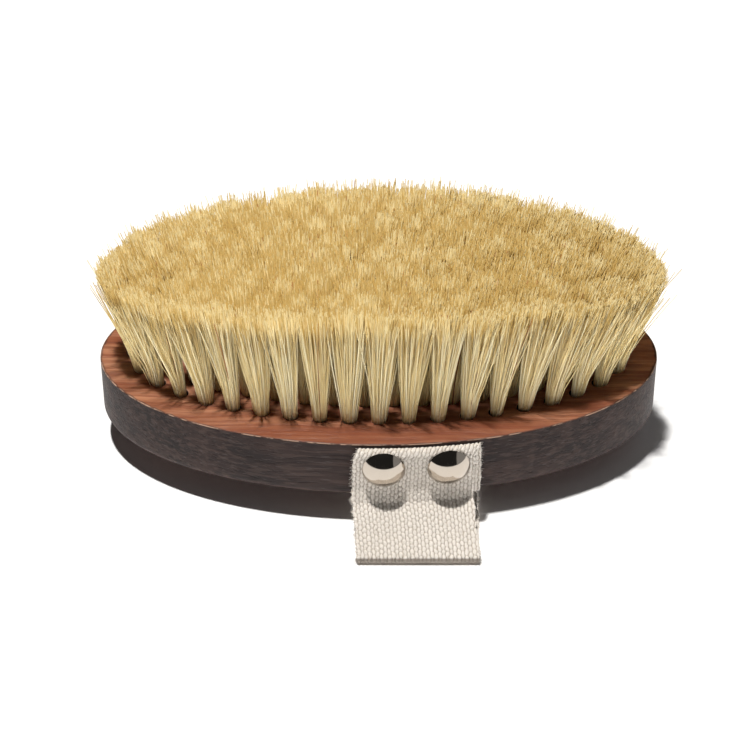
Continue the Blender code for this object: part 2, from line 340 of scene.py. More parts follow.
def feed(tree, socket, value):
    """Gives an input a value, or a link from a socket."""
    if isinstance(value, bpy.types.NodeSocket):
        tree.links.new(value, socket)
    else:
        socket.default_value = value


def node(tree, kind, inputs=None, **settings):
    """A node with its settings, and with inputs given as values or as sockets to link from."""
    made = tree.nodes.new(kind)
    for key, value in settings.items():
        setattr(made, key, value)
    for key, value in (inputs or {}).items():
        feed(tree, made.inputs[key], value)
    return made


def math_node(tree, operation, *values, clamp=False):
    inputs = dict(enumerate(values))
    return node(tree, "ShaderNodeMath", inputs, operation=operation, use_clamp=clamp).outputs[0]


def square(tree, value):
    return math_node(tree, "MULTIPLY", value, value)


def mixed(tree, factor, first, second):
    """The colour between two colours or colour sockets."""
    made = node(tree, "ShaderNodeMix", {0: factor}, data_type="RGBA")
    for index, value in ((6, first), (7, second)):
        given = value if isinstance(value, bpy.types.NodeSocket) else (*value[:3], 1.0)
        feed(tree, made.inputs[index], given)
    return made.outputs[2]


def tinted(tree, base, mask, strength, tone):
    """A colour with some of a tone mixed in where a mask allows it."""
    return mixed(tree, math_node(tree, "MULTIPLY", mask, strength), base, tone)


def mixed_shader(tree, factor, first, second):
    return node(tree, "ShaderNodeMixShader", {0: factor, 1: first, 2: second}).outputs[0]


def remap(tree, value, low, high, to_low=0.0, to_high=1.0):
    """A value taken smoothly from one range to another, and held at its ends."""
    inputs = {"Value": value, "From Min": low, "From Max": high, "To Min": to_low, "To Max": to_high}
    return node(tree, "ShaderNodeMapRange", inputs, interpolation_type="SMOOTHSTEP").outputs["Result"]


def noise(tree, vector, scale, detail=2.0, roughness=0.5):
    """The outputs of a noise texture."""
    inputs = {"Vector": vector, "Scale": scale, "Detail": detail, "Roughness": roughness}
    return node(tree, "ShaderNodeTexNoise", inputs).outputs


def scaled(tree, vector, scale, rotation=(0.0, 0.0, 0.0)):
    inputs = {"Vector": vector, "Rotation": rotation, "Scale": scale}
    return node(tree, "ShaderNodeMapping", inputs).outputs[0]


def axes(tree, vector):
    """The X, Y and Z of a vector."""
    return node(tree, "ShaderNodeSeparateXYZ", {0: vector}).outputs


def new_group(name, inputs, outputs):
    """A node group with a vector input, and float inputs {name: default} and outputs."""
    tree = bpy.data.node_groups.new(name, "ShaderNodeTree")
    tree.interface.new_socket("Vector", in_out="INPUT", socket_type="NodeSocketVector")
    for socket_name, default in inputs.items():
        socket = tree.interface.new_socket(socket_name, in_out="INPUT", socket_type="NodeSocketFloat")
        socket.default_value = default
    for socket_name in outputs:
        tree.interface.new_socket(socket_name, in_out="OUTPUT", socket_type="NodeSocketFloat")
    return tree, tree.nodes.new("NodeGroupInput").outputs, tree.nodes.new("NodeGroupOutput").inputs


def place_group(tree, group, inputs):
    return node(tree, "ShaderNodeGroup", inputs, node_tree=group).outputs


def wood_grain_group():
    """Long grain along X: soft bands, fine dark pores, short scratches and a drawn-out figure."""
    found = bpy.data.node_groups.get("Wood Grain")
    if found:
        return found
    tree, given, out = new_group(
        "Wood Grain",
        {"Band Scale": 90.0, "Pore Scale": 900.0, "Scratches": 0.5},
        ("Bands", "Pores", "Scratch", "Figure", "Height"),
    )
    long = scaled(tree, given["Vector"], (0.10, 1.0, 1.0))
    sway = {0: noise(tree, given["Vector"], 28.0)["Color"], 1: (0.0, 0.005, 0.005)}
    swayed = node(tree, "ShaderNodeVectorMath", sway, operation="MULTIPLY").outputs[0]
    bent = node(tree, "ShaderNodeVectorMath", {0: long, 1: swayed}, operation="ADD").outputs[0]
    bands = noise(tree, bent, given["Band Scale"], 5.0, 0.62)["Fac"]
    pores = noise(tree, scaled(tree, bent, (0.42, 1.0, 1.0)), given["Pore Scale"], 3.0, 0.55)["Fac"]
    slant = scaled(tree, given["Vector"], (0.16, 1.0, 1.0), rotation=(0.0, 0.72, 0.0))
    scratch = noise(tree, slant, 1500.0)["Fac"]
    figure = noise(tree, scaled(tree, bent, (0.22, 1.0, 1.0)), 1050.0, 1.5)["Fac"]
    band_mask = remap(tree, bands, 0.34, 0.68)
    pore_mask = remap(tree, pores, 0.53, 0.68)
    scratch_mask = math_node(tree, "MULTIPLY", remap(tree, scratch, 0.56, 0.74), given["Scratches"])
    lowered = math_node(tree, "MULTIPLY_ADD", pore_mask, -0.8, band_mask)
    masks = {
        "Bands": band_mask,
        "Pores": pore_mask,
        "Scratch": scratch_mask,
        "Figure": remap(tree, figure, 0.48, 0.64),
        "Height": math_node(tree, "MULTIPLY_ADD", scratch_mask, -0.6, lowered),
    }
    for name, mask in masks.items():
        tree.links.new(mask, out[name])
    return tree


def mottle_group():
    """Soft uneven tone, as on anything handled or dyed in the yarn."""
    found = bpy.data.node_groups.get("Mottle")
    if found:
        return found
    tree, given, out = new_group("Mottle", {"Scale": 60.0, "Fine Scale": 1800.0}, ("Patches", "Fine"))
    wide = noise(tree, given["Vector"], given["Scale"], 4.0)["Fac"]
    fine = noise(tree, given["Vector"], given["Fine Scale"])["Fac"]
    tree.links.new(remap(tree, wide, 0.32, 0.68), out["Patches"])
    tree.links.new(remap(tree, fine, 0.35, 0.65), out["Fine"])
    return tree


def wood_grain(tree, place, scratches):
    inputs = {"Vector": place, "Scratches": scratches, **WOOD_SCALES}
    return place_group(tree, wood_grain_group(), inputs)


def mottle(tree, place, scale, fine_scale):
    return place_group(tree, mottle_group(), {"Vector": place, "Scale": scale, "Fine Scale": fine_scale})


def object_place(tree):
    return tree.nodes.new("ShaderNodeTexCoord").outputs["Object"]


def bump(tree, shader, height, distance, strength):
    inputs = {"Distance": distance, "Strength": strength, "Height": height}
    tree.links.new(node(tree, "ShaderNodeBump", inputs).outputs["Normal"], shader.inputs["Normal"])


def wood_material(settings):
    """Reddish oiled face, and side and back darkened by heat, with the stain just over the crest and
    painted shade of the overhanging tips along the face's front.
    """
    material, tree, shader = new_material("Oiled heat-treated wood", 0.5, specular=0.22)
    place = object_place(tree)
    grain = wood_grain(tree, place, 0.9)
    patches = mottle(tree, place, 55.0, 1500.0)["Patches"]
    x, y, z = axes(tree, place)
    rough_edge = noise(tree, place, 420.0, 3.0)["Fac"]
    across = square(tree, math_node(tree, "DIVIDE", y, HALF_WIDTH))
    along = square(tree, math_node(tree, "DIVIDE", x, HALF_LENGTH))
    radius = math_node(tree, "SQRT", math_node(tree, "ADD", across, along))
    inside = remap(tree, math_node(tree, "MULTIPLY_ADD", rough_edge, 0.020, radius), 0.998, 1.010, 1.0, 0.0)
    on_top = remap(tree, z, FACE_Z - 0.00030, FACE_Z - 0.00008)
    face_mask = math_node(tree, "MULTIPLY", on_top, inside)

    face = mixed(tree, grain["Bands"], settings.face_dark, settings.face_colour)
    face = tinted(tree, face, grain["Pores"], 0.55, settings.face_dark)
    face = tinted(tree, face, patches, 0.22, (0.52, 0.20, 0.09))
    face = tinted(tree, face, grain["Figure"], 0.60, settings.face_dark)
    # Painted shade: the face's front band darkens towards the front edge, with a ragged line along the
    # grain, for the shadow of the overhanging bristle tips.
    ragged_y = math_node(tree, "MULTIPLY_ADD", rough_edge, 0.003, y)
    front = remap(tree, ragged_y, -0.0300, -0.0180, 0.62, 0.0)
    face = mixed(tree, front, face, settings.face_dark)
    side = mixed(tree, grain["Bands"], settings.side_dark, settings.side_colour)
    for mask, strength, tone in (
        (grain["Pores"], 0.45, settings.side_dark),
        (grain["Figure"], 0.38, (0.090, 0.058, 0.049)),
        (grain["Scratch"], 0.55, (0.070, 0.054, 0.052)),
        (patches, 0.30, (0.026, 0.016, 0.015)),
    ):
        side = tinted(tree, side, mask, strength, tone)

    # Pale broken line just inside the crest: worn raw wood, and a painted highlight of the rounded edge.
    from_crest = math_node(tree, "ABSOLUTE", math_node(tree, "SUBTRACT", z, FACE_Z - 0.0001))
    on_crest = remap(tree, from_crest, 0.0, 0.00022, 1.0, 0.0)
    crest = math_node(tree, "MULTIPLY", on_crest, remap(tree, radius, 0.9945, 0.9985))
    crest = math_node(tree, "MULTIPLY", crest, remap(tree, rough_edge, 0.40, 0.58))
    both = tinted(tree, mixed(tree, face_mask, side, face), crest, 0.75, settings.chip_and_highlight_colour)
    tree.links.new(both, shader.inputs["Base Color"])
    rough = mixed(tree, face_mask, (0.50, 0.50, 0.50), (0.42, 0.42, 0.42))
    rough = tinted(tree, rough, grain["Pores"], 0.5, (0.75, 0.75, 0.75))
    tree.links.new(rough, shader.inputs["Roughness"])
    bump(tree, shader, grain["Height"], 0.00010, 0.9)
    return material


def hole_edge_material(settings):
    """Raw, paler wood where each hole was drilled, in broken patches."""
    material, tree, shader = new_material("Drilled wood edge", 0.8)
    place = object_place(tree)
    chips = mottle(tree, place, 260.0, 2500.0)
    bands = wood_grain(tree, place, 0.0)["Bands"]
    base = mixed(tree, bands, settings.face_dark, settings.face_colour)
    chipped = mixed(tree, chips["Patches"], base, settings.chip_and_highlight_colour)
    tree.links.new(chipped, shader.inputs["Base Color"])
    bump(tree, shader, chips["Fine"], 0.0001, 0.8)
    return material


def fibre_material(settings):
    """Plant fibre: pale along its length and raised further as painted light for the light that passes
    through real fibres, golden towards the cut tip, with a tint for each fibre.

    U of the fibre's own map is its tint and V runs from root to tip.
    """
    material, tree, shader = new_material("Plant fibre", 0.45, specular=0.35)
    place = node(tree, "ShaderNodeUVMap", uv_map="OFBake").outputs["UV"]
    tint, height, _ = axes(tree, place)
    streak = noise(tree, scaled(tree, place, (900.0, 7.0, 1.0)), 1.0, 3.0)["Fac"]
    # The pale body carries the painted light of the brightened fibre colour.
    pale = mixed(tree, remap(tree, streak, 0.3, 0.7), (0.88, 0.69, 0.32), settings.side_colour)
    warm = mixed(tree, remap(tree, tint, 0.0, 0.30, 0.8, 0.0), pale, (0.74, 0.52, 0.22))
    light = mixed(tree, remap(tree, tint, 0.62, 0.90), warm, (0.98, 0.89, 0.60))
    # Duller over the top 15% of each fibre, which takes back part of the painted light where the key light
    # falls on the tips.
    duller_top = mixed(tree, remap(tree, height, 0.84, 0.99, 0.0, 0.90), light, (0.70, 0.57, 0.29))
    near_tip = remap(tree, height, 0.45, 0.96, 0.0, 0.95)
    golden = tinted(tree, duller_top, near_tip, remap(tree, tint, 0.45, 0.80, 1.0, 0.0), settings.tip_colour)
    final = mixed(tree, remap(tree, tint, 0.990, 0.993), golden, settings.stray_colour)
    tree.links.new(final, shader.inputs["Base Color"])
    return material


def webbing_material(settings, length):
    """Undyed cotton: warp yarns that rise and dip in turn, with painted shade in their deep gaps and low on
    the fold, and fine fuzz.
    """
    material, tree, shader = new_material("Cotton webbing", 0.92, specular=0.15)
    shader.inputs["Sheen Weight"].default_value = 0.25
    shader.inputs["Sheen Roughness"].default_value = 0.6
    place = object_place(tree)
    u, v, _ = axes(tree, node(tree, "ShaderNodeUVMap", uv_map="Webbing").outputs["UV"])
    stray_u, stray_v, _ = axes(tree, noise(tree, place, 620.0)["Color"])
    column = math_node(tree, "MULTIPLY", u, settings.width / settings.yarn_across)
    column = math_node(tree, "MULTIPLY_ADD", math_node(tree, "SUBTRACT", stray_u, 0.5), 0.9, column)
    pick = math_node(tree, "MULTIPLY", v, length / settings.yarn_along)
    pick = math_node(tree, "MULTIPLY_ADD", math_node(tree, "SUBTRACT", stray_v, 0.5), 0.9, pick)
    index = math_node(tree, "FLOOR", column)
    odd = math_node(tree, "MULTIPLY", math_node(tree, "MODULO", index, 2.0), 0.5)
    across = math_node(tree, "SUBTRACT", math_node(tree, "FRACT", column), 0.5)
    along = math_node(tree, "SUBTRACT", math_node(tree, "FRACT", math_node(tree, "ADD", pick, odd)), 0.5)
    wide = math_node(tree, "MULTIPLY", square(tree, across), 3.6)
    tall = math_node(tree, "MULTIPLY", square(tree, along), 3.2)
    yarn = math_node(tree, "SUBTRACT", 1.0, math_node(tree, "ADD", wide, tall), clamp=True)
    yarn = math_node(tree, "SQRT", yarn)
    twist = math_node(tree, "MULTIPLY", math_node(tree, "MULTIPLY_ADD", across, 0.9, along), 22.0)
    fuzz = mottle(tree, place, 70.0, 3800.0)
    # Painted shade in the gaps between the yarns, following the yarns' height.
    base = mixed(tree, remap(tree, yarn, 0.15, 0.75), settings.cotton_gap_shade, settings.cotton)
    base = tinted(tree, base, fuzz["Fine"], 0.35, (0.86, 0.82, 0.76))
    base = tinted(tree, base, fuzz["Patches"], 0.18, (0.58, 0.51, 0.43))
    # Painted shade: darker low on the fold, where the strap turns under outside the block.
    _, y, z = axes(tree, place)
    outward = remap(tree, math_node(tree, "ABSOLUTE", y), 0.0480, 0.0496)
    base = tinted(tree, base, remap(tree, z, 0.0017, 0.0023, 0.85, 0.0), outward, (0.16, 0.125, 0.095))
    tree.links.new(base, shader.inputs["Base Color"])
    height = math_node(tree, "MULTIPLY_ADD", math_node(tree, "SINE", twist), 0.06, yarn)
    height = math_node(tree, "MULTIPLY_ADD", fuzz["Fine"], 0.22, height)
    bump(tree, shader, height, settings.yarn_relief, 0.8)
    return material


def nickel_material(settings):
    """Polished nickel with patches of wear in its tone and roughness."""
    material, tree, shader = new_material("Polished nickel", 0.06, metallic=1.0)
    wear = mottle(tree, object_place(tree), 240.0, 3000.0)["Patches"]
    tone = tinted(tree, settings.nickel, wear, 0.25, (0.50, 0.44, 0.37))
    tree.links.new(tone, shader.inputs["Base Color"])
    tree.links.new(remap(tree, wear, 0.0, 1.0, 0.035, 0.10), shader.inputs["Roughness"])
    return material


def floor_material(settings):
    """Pale matt floor, clear from below and to shadow rays, so that light comes up from under it."""
    material, tree, shader = new_material("Pale floor", 0.9, specular=0.1)
    tone = mottle(tree, object_place(tree), 3.0, 200.0)["Patches"]
    pale = [min(1.0, channel * 1.02) for channel in settings.floor_colour]
    tree.links.new(mixed(tree, tone, settings.floor_colour, pale), shader.inputs["Base Color"])
    clear = tree.nodes.new("ShaderNodeBsdfTransparent").outputs[0]
    facing = tree.nodes.new("ShaderNodeNewGeometry").outputs["Backfacing"]
    shadow_ray = tree.nodes.new("ShaderNodeLightPath").outputs["Is Shadow Ray"]
    open_floor = math_node(tree, "MAXIMUM", facing, shadow_ray)
    either = mixed_shader(tree, open_floor, shader.outputs[0], clear)
    tree.links.new(either, tree.nodes["Material Output"].inputs["Surface"])
    return material


# The block


def block_profile(settings):
    """(inset, z) from the face down the side, round the lower edge and over the back's dome."""
    crest = settings.crest_radius
    side_low = FACE_Z - settings.side_height
    points = []
    for step in range(5):
        turn = math.pi / 2 * step / 4
        points.append((crest * (1 - math.sin(turn)), FACE_Z - crest * (1 - math.cos(turn))))
    radius = settings.edge_radius
    for step in range(9):
        turn = math.radians(80) * step / 8
        points.append((radius * (1 - math.cos(turn)), side_low + radius - radius * math.sin(turn)))
    back_width = HALF_WIDTH - radius
    for step in range(1, 16):
        rest = 1 - step / 16
        z = BLOCK_LOW.z + (side_low - BLOCK_LOW.z) * rest**2
        points.append((HALF_WIDTH - back_width * rest, z))
    return points


def shape_block(settings):
    """An oval disc drawn down into the block, loop by loop."""
    profile = block_profile(settings)
    rim = settings.edge_radius
    deselect()
    bpy.ops.mesh.primitive_circle_add(
        vertices=settings.segments, radius=1.0, fill_type="NGON", location=(0.0, 0.0, FACE_Z)
    )
    block = bpy.context.object
    edit(block)
    length, width = HALF_LENGTH - profile[0][0], HALF_WIDTH - profile[0][0]
    bpy.ops.transform.resize(value=(length, width, 1.0))
    z = FACE_Z
    for inset, next_z in profile[1:]:
        bpy.ops.mesh.extrude_region_move(TRANSFORM_OT_translate={"value": (0.0, 0.0, next_z - z)})
        next_length, next_width = HALF_LENGTH - inset, HALF_WIDTH - inset
        if inset > rim:
            next_length = (HALF_LENGTH - rim) * (next_width / (HALF_WIDTH - rim))
        bpy.ops.transform.resize(value=(next_length / length, next_width / width, 1.0))
        length, width, z = next_length, next_width, next_z
    leave_edit_facing_out()
    settle(block, "brush_block_wood")
    return block


def score_face(block, spacing=0.0095):
    """Parts the face along a grid, so that each flat polygon holds few holes."""
    edit(block)
    for axis, half in (((1, 0, 0), HALF_LENGTH), ((0, 1, 0), HALF_WIDTH)):
        lines = int(half / spacing)
        for line in range(-lines, lines + 1):
            select_parts(block, "FACE", lambda face: face.normal.z > FLAT)
            place = (Vector(axis) * (line + 0.5) * spacing) + Vector((0, 0, FACE_Z))
            if max(abs(place.x) / HALF_LENGTH, abs(place.y) / HALF_WIDTH) < 0.98:
                bpy.ops.mesh.bisect(plane_co=place, plane_no=axis)
    leave_edit()


def shape_drill(settings):
    """A drill that flares at the face, to break the edge of its hole."""
    deselect()
    bpy.ops.mesh.primitive_cylinder_add(
        vertices=20,
        radius=settings.tuft_hole_radius,
        depth=settings.tuft_hole_depth,
        location=(0, 0, FACE_Z - settings.tuft_hole_depth / 2 - HOLE_EDGE),
    )
    drill = bpy.context.object
    settle(drill, "drill")
    edit(drill)
    select_parts(drill, "FACE", lambda face: face.normal.z > 0.9)
    bpy.ops.mesh.extrude_region_move(TRANSFORM_OT_translate={"value": (0, 0, 3 * HOLE_EDGE)})
    flare = 1 + 3 * HOLE_EDGE / settings.tuft_hole_radius
    bpy.ops.transform.resize(value=(flare, flare, 1.0))
    leave_edit()
    return drill


def drill_block(block, settings, roots):
    """Cuts a hole for each tuft with the flared drill."""
    drill = shape_drill(settings)
    shape = points_of(drill.data)
    corners = [np.array(face.vertices) for face in drill.data.polygons]
    points = np.concatenate([shape + np.array(root) for root in roots])
    faces = [tuple((face + index * len(shape)).tolist()) for index in range(len(roots)) for face in corners]
    mesh = bpy.data.meshes.new("drills")
    mesh.from_pydata(points.tolist(), [], faces)
    drills = new_object("drills", mesh)
    modifier = block.modifiers.new("holes", "BOOLEAN")
    modifier.operation = "DIFFERENCE"
    modifier.solver = "EXACT"
    modifier.object = drills
    apply_modifier(block, modifier)
    remove(drills)
    remove(drill)

    def flared(face):
        middle = face.calc_center_median()
        inner = math.hypot(middle.x / HALF_LENGTH, middle.y / HALF_WIDTH) < 0.97
        return inner and 0.3 < face.normal.z < 0.95 and middle.z > FACE_Z - HOLE_EDGE

    edit(block)
    select_parts(block, "FACE", flared)
    block.active_material_index = 1
    bpy.ops.object.material_slot_assign()
    leave_edit()


def mark_crest(block):
    """Keeps the flat face's shading flat up to its rounded crest."""

    def round_face(edge):
        on_face = [face for face in edge.link_faces if face.normal.z > FLAT]
        return len(on_face) == 1

    edit(block)
    select_parts(block, "EDGE", round_face)
    bpy.ops.mesh.mark_sharp()
    leave_edit()


class BRUSH_OT_block(bpy.types.Operator):
    """Model the oval wooden block with its tuft holes"""

    bl_idname = "brush.block"
    bl_label = "Wooden Block"

    def execute(self, context):
        settings = context.scene.brush_block
        block = shape_block(settings)
        block.data.materials.append(wood_material(settings))
        block.data.materials.append(hole_edge_material(settings))
        rows = tuft_rows(context.scene.brush_bristles, settings.tuft_hole_radius)
        score_face(block)
        drill_block(block, settings, [root for row in rows.values() for root, _, _ in row])
        smooth_by_angle(block, 35)
        mark_crest(block)
        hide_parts("brush_block")
        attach(block, "brush")
        return {"FINISHED"}


# The bristles

ROOT_SCATTER = 0.05  # of a fibre's place in its tuft, in tuft radii
HOLE_CLEARANCE = 0.00016
TIP_SCATTER = 0.00050
ASTRAY_SHARE, ASTRAY_SCATTER = 0.03, 0.0018
TUFT_SWAY = 0.00035
FIBRE_BOW = 0.00035
TRIM_SCATTER = 0.00030  # height of a tuft, and of a fibre in it
TALL_SHARE, TALL = 0.02, 0.0006
SHORT_SHARE, SHORT = 0.06, (0.001, 0.004)
DARK_SHARE, DARK_TINT = 0.004, 0.996
LEAN_FROM = -0.007  # X that the tips lean away from
WIDE_ROWS = {"ring_4": 1.2, "centre_row": 1.2}  # rows whose tufts spread more, to close the middle


def model_fibre():
    """One fibre at unit height: a three-sided tapered strand, closed at both ends.

    Returns its points and faces; the points' z runs from 0 at the root to 1 at the tip.
    """
    deselect()
    bpy.ops.mesh.primitive_cone_add(vertices=3, radius1=1.0, radius2=0.62, depth=1.0, location=(0, 0, 0.5))
    fibre = bpy.context.object
    edit(fibre)
    select_parts(fibre, "EDGE", lambda edge: abs(edge.verts[0].co.z - edge.verts[1].co.z) > 0.5)
    bpy.ops.mesh.subdivide(number_cuts=4)
    leave_edit()
    settle(fibre, "fibre")
    points = points_of(fibre.data)
    faces = [tuple(face.vertices) for face in fibre.data.polygons]
    remove(fibre)
    return points, faces


def tip_height(settings, x):
    reach = (HALF_LENGTH - settings.end_margin) * (1 + settings.lean)
    return settings.length - settings.crown * np.minimum(1.0, np.abs(x) / reach) ** 2.4


def fibre_lines(settings, tufts, hole_radius, outer, spread, rng):
    """Roots, bends and tips of every fibre of some tufts, and a tint for each."""
    roots, bends, tips, tints = [], [], [], []
    for root, along, out in tufts:
        number = settings.fibres
        turn = rng.uniform(0, 2 * math.pi) + np.arange(number) * math.pi * (3 - math.sqrt(5))
        reach = np.sqrt((np.arange(number) + 0.5) / number)
        a = reach * np.cos(turn) + rng.normal(0, ROOT_SCATTER, number)
        b = reach * np.sin(turn) + rng.normal(0, ROOT_SCATTER, number)
        base = np.array(root)
        along_axis, out_axis = np.array(along), np.array(out)
        hold = (hole_radius - HOLE_CLEARANCE) * rng.uniform(0.80, 1.0)
        start = base + hold * (a[:, None] * along_axis + b[:, None] * out_axis)
        spread_out = np.where((b > 0) & outer, settings.outer_reach, spread * settings.tip_reach)
        loose = rng.normal(0, TIP_SCATTER, (number, 2))
        astray = rng.random(number) < ASTRAY_SHARE
        loose[astray] += rng.normal(0, ASTRAY_SCATTER, (int(astray.sum()), 2))
        tuft_sway = rng.normal(0, TUFT_SWAY, 2)
        shift_along = spread * settings.tip_reach * a + loose[:, 0] + tuft_sway[0]
        shift_out = spread_out * b + loose[:, 1] + tuft_sway[1]
        fringe_share = FRINGE_SHARE * abs(out.y) ** 2 if outer else 0.0
        fringe = (rng.random(number) < fringe_share) & (b > -0.2)
        fringe_reach = np.where(fringe, rng.uniform(0.0004, FRINGE_REACH, number), 0.0)
        shift_out += fringe_reach
        end = base + shift_along[:, None] * along_axis + shift_out[:, None] * out_axis
        end[:, 0] += settings.lean * (root.x - LEAN_FROM)
        lower = 0.0007 * np.minimum(1.5, a**2 + b**2) ** 1.5
        end[:, 2] = tip_height(settings, end[:, 0]) - lower + rng.normal(0, TRIM_SCATTER, number)
        end[:, 2] += rng.normal(0, TRIM_SCATTER) + np.where(rng.random(number) < TALL_SHARE, TALL, 0.0)
        end[:, 2] -= np.where(rng.random(number) < SHORT_SHARE, rng.uniform(*SHORT, number), 0.0)
        end[:, 2] -= 25.0 * fringe_reach**2
        bow = rng.normal(0, FIBRE_BOW, (number, 3))
        bow[:, 2] = 0.0
        middle = (start + end) / 2 - 0.03 * (end - start) * [1, 1, 0] + bow
        roots.append(start)
        bends.append(middle)
        tips.append(end)
        if outer:
            tint = rng.uniform(0.38, 0.98, number)
        else:
            tint = 0.68 - 0.38 * (a**2 + b**2) + rng.normal(0, 0.16, number)
        tints.append(np.clip(tint + rng.normal(0, 0.05), 0.002, 0.985))
        tints[-1][rng.random(number) < DARK_SHARE] = DARK_TINT
    return np.concatenate(roots), np.concatenate(bends), np.concatenate(tips), np.concatenate(tints)


def grow_fibres(name, settings, fibre, lines, hole_depth, rng):
    """One mesh of every fibre, each a copy of the modelled one laid along its own bent line."""
    shape, faces = fibre
    roots, bends, tips, tints = lines
    number = len(roots)
    sunk = min(hole_depth, FIBRE_SUNK)
    height = shape[:, 2]
    t = height[None, :, None]
    start = roots.copy()
    start[:, 2] = 0.0
    middle = bends.copy()
    middle[:, 2] = tips[:, 2] / 2
    line = (
        (1 - t) * (1 - 2 * t) * start[:, None, :]
        + 4 * t * (1 - t) * middle[:, None, :]
        - t * (1 - 2 * t) * tips[:, None, :]
    )
    line[:, height < 0.01, 2] = -sunk
    spin = rng.uniform(0, 2 * math.pi, number)
    girth = settings.fibre_radius * rng.uniform(0.72, 1.25, number)
    cos, sin = np.cos(spin)[:, None], np.sin(spin)[:, None]
    across_x = (shape[None, :, 0] * cos - shape[None, :, 1] * sin) * girth[:, None]
    across_y = (shape[None, :, 0] * sin + shape[None, :, 1] * cos) * girth[:, None]
    points = line + np.stack([across_x, across_y, np.zeros_like(across_x)], axis=2)
    points[:, :, 2] += FACE_Z
    points[:, :, 2] += (height > 0.99)[None, :] * rng.normal(0, 0.35, (number, 1)) * across_x
    return fibre_object(name, points, faces, tints, height)


def fibre_object(name, points, faces, tints, height):
    """The mesh of copied fibres, with each fibre's tint and the height along it in its map."""
    number, corners = points.shape[:2]
    loop_total = np.array([len(face) for face in faces])
    loop_verts = np.concatenate([np.array(face) for face in faces])
    mesh = bpy.data.meshes.new(name)
    mesh.vertices.add(number * corners)
    mesh.vertices.foreach_set("co", points.astype(np.float32).ravel())
    steps = (np.arange(number) * corners)[:, None]
    all_verts = (loop_verts[None, :] + steps).ravel()
    mesh.loops.add(len(all_verts))
    mesh.loops.foreach_set("vertex_index", all_verts.astype(np.int32))
    totals = np.tile(loop_total, number)
    starts = np.concatenate([[0], np.cumsum(totals)[:-1]])
    mesh.polygons.add(len(totals))
    mesh.polygons.foreach_set("loop_start", starts.astype(np.int32))
    mesh.update(calc_edges=True)
    uv = mesh.uv_layers.new(name="OFBake")
    side = np.array([0.0, 0.5, 1.0])[np.arange(len(loop_verts)) % 3]
    u = np.clip(tints[:, None] + 0.0012 * side[None, :], 0.0, 1.0)
    v = np.broadcast_to(height[loop_verts][None, :], u.shape)
    uv.data.foreach_set("uv", np.stack([u, v], axis=2).astype(np.float32).ravel())
    mesh.shade_smooth()
    return new_object(name, mesh)


class BRUSH_OT_bristles(bpy.types.Operator):
    """Grow the rings of plant-fibre tufts, fibre by fibre"""

    bl_idname = "brush.bristles"
    bl_label = "Bristles"

    def execute(self, context):
        settings = context.scene.brush_bristles
        block = context.scene.brush_block
        rng = np.random.default_rng(716)
        fibre = model_fibre()
        material = fibre_material(settings)
        rows = tuft_rows(settings, block.tuft_hole_radius)
        for row, tufts in rows.items():
            if row == "centre_row":
                halves = {"": tufts}
                groups = {"": (1, 2)}
            else:
                number = GROUPS_IN_RING[int(row[-1]) - 1]
                half = len(tufts) // 2
                halves = {"_rear": tufts[:half], "_front": tufts[half:]}
                groups = {"_rear": range(1, number // 2 + 1), "_front": range(number // 2 + 1, number + 1)}
            spread = WIDE_ROWS.get(row, 1.0)
            for side, members in halves.items():
                lines = fibre_lines(settings, members, block.tuft_hole_radius, row == "ring_1", spread, rng)
                name = f"bristles_{row}{side}"
                piece = grow_fibres(name, settings, fibre, lines, block.tuft_hole_depth, rng)
                piece.data.materials.append(material)
                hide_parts(*[f"tufts_{row}_group_{index}" for index in groups[side]])
                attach(piece, "brush")
        return {"FINISHED"}


# The strap


def bezier(start, handle_1, handle_2, end, steps):
    t = np.linspace(0, 1, steps + 1)[:, None]
    start, handle_1, handle_2, end = (np.array(point) for point in (start, handle_1, handle_2, end))
    return (
        (1 - t) ** 3 * start
        + 3 * (1 - t) ** 2 * t * handle_1
        + 3 * (1 - t) * t**2 * handle_2
        + t**3 * end
    )


def half_strap_path(settings):
    """(distance out, height, share that follows the block's side) from one hem to under the block."""
    thick = settings.thickness
    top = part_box("strap_end_front")[1].z
    wall = -wall_y(strap_middle())
    inner, outer = wall + SEAT + thick / 2, wall + SEAT + 1.5 * thick
    hem = [(inner, top - thick / 2 - settings.hem)]
    turn = [
        ((inner + outer) / 2 + thick / 2 * math.cos(a), top - thick + thick / 2 * math.sin(a))
        for a in np.linspace(math.pi, 0.0, 9)
    ]
    reach = PALM_HIGH.y - thick / 2 - settings.fold_radius
    lift = thick / 2 + 2 * settings.fold_radius
    lean = [(outer + 0.0002, settings.bend_z + 0.0033), (outer + 0.0007, settings.bend_z + 0.0018)]
    slope = bezier(
        (outer + 0.0014, settings.bend_z),
        (outer + 0.0020, settings.bend_z - 0.0006),
        (reach - 0.0045, lift + 0.0022),
        (reach, lift),
        24,
    )
    fold = [
        (reach + settings.fold_radius * math.cos(a), thick / 2 + settings.fold_radius * (1 + math.sin(a)))
        for a in np.linspace(math.pi / 2, -math.pi / 2, 9)[1:]
    ]
    start = hem + turn + [(outer, settings.bend_z + 0.0046)] + lean
    path = np.array(start + [tuple(point) for point in slope] + fold + [(0.0, thick / 2)])
    follow = np.clip((path[:, 1] - lift) / (settings.bend_z - lift), 0, 1)
    follow[len(path) - len(fold) - 1 :] = 0.0
    return np.column_stack([path, follow])


def strap_middle():
    return (PALM_LOW.x + PALM_HIGH.x) / 2


